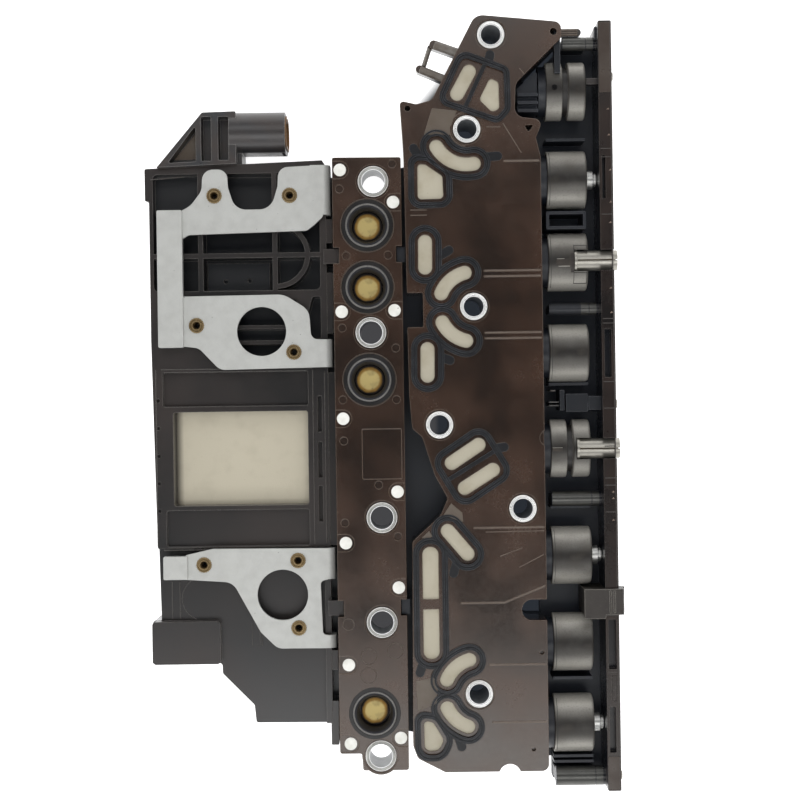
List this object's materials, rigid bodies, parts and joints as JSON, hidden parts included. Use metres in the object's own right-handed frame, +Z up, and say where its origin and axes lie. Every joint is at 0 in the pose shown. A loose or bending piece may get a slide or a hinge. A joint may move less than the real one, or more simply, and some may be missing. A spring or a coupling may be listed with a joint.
{
  "type": "transmission control module",
  "caption": "Automatic transmission control module: ported oil manifold with solenoids, a pressure switch strip, and a control unit housing with brackets and a plug connector.",
  "frame": {"origin": "centre of the underside that the module rests on, midway along its length and width", "axes": "+Z up out of the port face, +X towards the solenoids, +Y along the module towards the connector"},
  "size_m": [0.1924, 0.3119, 0.0369],
  "materials": {
    "brown_moulding": "glass-filled moulding, satin to glossy, dark brown",
    "black_moulding": "glass-filled moulding, satin, black",
    "grey_moulding": "glass-filled moulding, satin, dark grey",
    "cream_moulding": "cream, matt",
    "white_moulding": "white moulding, smooth",
    "seal_rubber": "blue-black moulded rubber",
    "connector_rubber": "orange-brown silicone",
    "can_steel": "drawn steel, satin",
    "sleeve_steel": "bright plated steel",
    "armature_steel": "ground steel",
    "winding_copper": "enamelled copper winding",
    "disc_brass": "gold-plated contact disc",
    "insert_brass": "brass, turned",
    "bracket_aluminium": "pressed sheet, fine grain",
    "board_laminate": "glass-epoxy laminate, soldered"
  },
  "bodies": {
    "module": {"adjuster_studs": "sleeve_steel", "base_plate": "bracket_aluminium", "carrier_pins": "white_moulding", "carrier_sleeves": "sleeve_steel", "circuit_board": "board_laminate", "connector_pins": "insert_brass", "connector_seal": "connector_rubber", "connector_shell": "grey_moulding", "control_housing": "black_moulding", "filter_screens": "cream_moulding", "frame_latch": "black_moulding", "frame_screws": "can_steel", "heat_plate": "cream_moulding", "lower_bracket": "bracket_aluminium", "lower_cover": "black_moulding", "manifold_body": "brown_moulding", "manifold_sleeves": "sleeve_steel", "port_gasket_1": "seal_rubber", "port_gasket_2": "seal_rubber", "port_gasket_3": "seal_rubber", "port_gasket_4": "seal_rubber", "port_gasket_5": "seal_rubber", "retainer_frame": "brown_moulding", "roll_pins": "sleeve_steel", "solenoid_can_1": "can_steel", "solenoid_can_2": "can_steel", "solenoid_can_3": "can_steel", "solenoid_can_4": "can_steel", "solenoid_can_5": "can_steel", "solenoid_can_6": "can_steel", "solenoid_can_7": "can_steel", "solenoid_can_8": "can_steel", "solenoid_coils": "winding_copper", "solenoid_noses": "black_moulding", "solenoid_tray": "black_moulding", "switch_carrier": "brown_moulding", "switch_seal_1": "seal_rubber", "switch_seal_2": "seal_rubber", "switch_seal_3": "seal_rubber", "switch_seal_4": "seal_rubber", "threaded_inserts": "insert_brass", "upper_bracket": "bracket_aluminium"},
    "armature_1": {"plunger_1": "armature_steel"},
    "armature_2": {"plunger_2": "armature_steel"},
    "armature_3": {"plunger_3": "armature_steel"},
    "armature_4": {"plunger_4": "armature_steel"},
    "armature_5": {"plunger_5": "armature_steel"},
    "armature_6": {"plunger_6": "armature_steel"},
    "armature_7": {"plunger_7": "armature_steel"},
    "armature_8": {"plunger_8": "armature_steel"},
    "contact_1": {"switch_disc_1": "disc_brass"},
    "contact_2": {"switch_disc_2": "disc_brass"},
    "contact_3": {"switch_disc_3": "disc_brass"},
    "contact_4": {"switch_disc_4": "disc_brass"}
  },
  "joints": [
    {"name": "armature_slide_1", "type": "slide", "parent": "module", "child": "armature_1", "axis": [1, 0, 0], "range_m": [0, 0.001]},
    {"name": "armature_slide_2", "type": "slide", "parent": "module", "child": "armature_2", "axis": [1, 0, 0], "range_m": [0, 0.001]},
    {"name": "armature_slide_3", "type": "slide", "parent": "module", "child": "armature_3", "axis": [1, 0, 0], "range_m": [0, 0.001]},
    {"name": "armature_slide_4", "type": "slide", "parent": "module", "child": "armature_4", "axis": [1, 0, 0], "range_m": [0, 0.001]},
    {"name": "armature_slide_5", "type": "slide", "parent": "module", "child": "armature_5", "axis": [1, 0, 0], "range_m": [0, 0.001]},
    {"name": "armature_slide_6", "type": "slide", "parent": "module", "child": "armature_6", "axis": [1, 0, 0], "range_m": [0, 0.001]},
    {"name": "armature_slide_7", "type": "slide", "parent": "module", "child": "armature_7", "axis": [1, 0, 0], "range_m": [0, 0.001]},
    {"name": "armature_slide_8", "type": "slide", "parent": "module", "child": "armature_8", "axis": [1, 0, 0], "range_m": [0, 0.001]},
    {"name": "contact_press_1", "type": "slide", "parent": "module", "child": "contact_1", "axis": [0, 0, -1], "range_m": [0, 0.0005], "stiffness_N_per_m": 400, "springref_m": -0.0002},
    {"name": "contact_press_2", "type": "slide", "parent": "module", "child": "contact_2", "axis": [0, 0, -1], "range_m": [0, 0.0005], "stiffness_N_per_m": 400, "springref_m": -0.0002},
    {"name": "contact_press_3", "type": "slide", "parent": "module", "child": "contact_3", "axis": [0, 0, -1], "range_m": [0, 0.0005], "stiffness_N_per_m": 400, "springref_m": -0.0002},
    {"name": "contact_press_4", "type": "slide", "parent": "module", "child": "contact_4", "axis": [0, 0, -1], "range_m": [0, 0.0005], "stiffness_N_per_m": 400, "springref_m": -0.0002}
  ]
}
